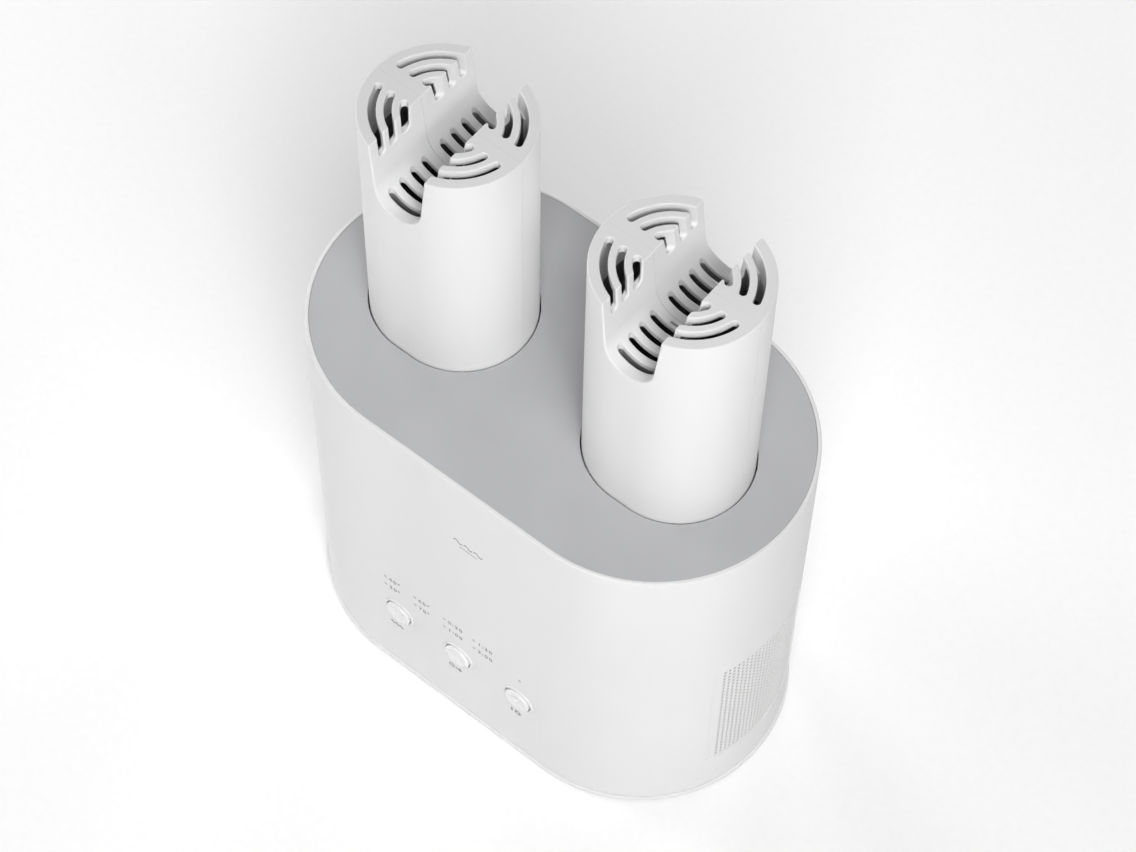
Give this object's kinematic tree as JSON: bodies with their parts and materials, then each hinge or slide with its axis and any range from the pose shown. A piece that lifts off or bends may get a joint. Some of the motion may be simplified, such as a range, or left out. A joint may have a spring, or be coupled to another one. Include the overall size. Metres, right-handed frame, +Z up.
{
  "type": "boot dryer",
  "caption": "Upright obround warm-air dryer whose slotted air nozzles slide down into the housing, with push buttons, side intake grilles and a rear cord gland.",
  "frame": {"origin": "middle of the footprint, on the surface the feet stand on", "axes": "+Z up along the nozzles, +X along the housing's long side, -Y out of the front with the buttons, +Y out of the back with the cord gland"},
  "size_m": [0.252, 0.1508, 0.3527],
  "materials": {
    "housing_white": "smooth satin moulded plastic",
    "panel_grey": "fine matte texture",
    "nozzle_white": "smooth satin moulded plastic",
    "duct_plastic": "as moulded",
    "seal_rubber": "soft",
    "filter_mesh": "fine open mesh",
    "button_white": "polished",
    "fastener_steel": "plated",
    "circuit_board": "solder mask",
    "component_black": "moulded",
    "light_pipe": "clear grey",
    "led_amber": "clear",
    "heater_frame_plastic": "heat-resistant",
    "heater_metal": "mill",
    "motor_core": "laminated",
    "fan_plastic": "as moulded",
    "wire_jacket": "soft vinyl",
    "gland_grey": "as moulded"
  },
  "bodies": {
    "housing": {"body_shell": "housing_white", "base_plate": "housing_white", "side_grille_left": "housing_white", "side_grille_right": "housing_white", "top_panel": "panel_grey", "guide_sleeve_left": "duct_plastic", "guide_sleeve_right": "duct_plastic", "air_plenum": "duct_plastic", "plenum_cover": "duct_plastic", "blower_housing": "duct_plastic", "button_carrier": "duct_plastic", "gland_nut": "duct_plastic", "rubber_feet": "seal_rubber", "nozzle_seal_left": "seal_rubber", "nozzle_seal_right": "seal_rubber", "dust_filter_left": "filter_mesh", "dust_filter_right": "filter_mesh", "base_screws": "fastener_steel", "sleeve_screws": "fastener_steel", "board_screws": "fastener_steel", "blower_screws": "fastener_steel", "motor_bearings": "fastener_steel", "motor_can": "fastener_steel", "control_board": "circuit_board", "power_board": "circuit_board", "tact_switches": "component_black", "control_chips": "component_black", "heater_relay": "component_black", "terminal_block": "component_black", "power_capacitor": "component_black", "thermal_cutout": "component_black", "light_pipes": "light_pipe", "indicator_leds": "led_amber", "heater_frame": "heater_frame_plastic", "heater_elements": "heater_metal", "heater_fins": "heater_metal", "motor_stator": "motor_core", "power_transformer": "motor_core", "fan_wire": "wire_jacket", "heater_wire": "wire_jacket", "board_cable": "wire_jacket", "cord_gland": "gland_grey"},
    "nozzle_left": {"nozzle_front_left": "nozzle_white", "nozzle_rear_left": "nozzle_white", "nozzle_stop_ring_left": "duct_plastic"},
    "nozzle_right": {"nozzle_front_right": "nozzle_white", "nozzle_rear_right": "nozzle_white", "nozzle_stop_ring_right": "duct_plastic"},
    "mode_key": {"mode_button": "button_white", "mode_plunger": "component_black"},
    "timer_key": {"timer_button": "button_white", "timer_plunger": "component_black"},
    "power_key": {"power_button": "button_white", "power_plunger": "component_black"},
    "fan_rotor": {"fan_impeller": "fan_plastic", "motor_shaft": "fastener_steel", "motor_rotor": "motor_core"}
  },
  "joints": [
    {"name": "nozzle_left_slide", "type": "slide", "parent": "housing", "child": "nozzle_left", "axis": [0, 0, 1], "range_m": [-0.133, 0]},
    {"name": "nozzle_right_slide", "type": "slide", "parent": "housing", "child": "nozzle_right", "axis": [0, 0, 1], "range_m": [-0.133, 0]},
    {"name": "mode_press", "type": "slide", "parent": "housing", "child": "mode_key", "axis": [0, 1, 0], "range_m": [0, 0.001], "stiffness_N_per_m": 400, "springref_m": -0.001},
    {"name": "timer_press", "type": "slide", "parent": "housing", "child": "timer_key", "axis": [0, 1, 0], "range_m": [0, 0.001], "stiffness_N_per_m": 400, "springref_m": -0.001},
    {"name": "power_press", "type": "slide", "parent": "housing", "child": "power_key", "axis": [0, 1, 0], "range_m": [0, 0.001], "stiffness_N_per_m": 400, "springref_m": -0.001},
    {"name": "fan_spin", "type": "hinge", "parent": "housing", "child": "fan_rotor", "pos_m": [0, 0, 0.02], "axis": [0, 0, 1], "continuous": true}
  ]
}
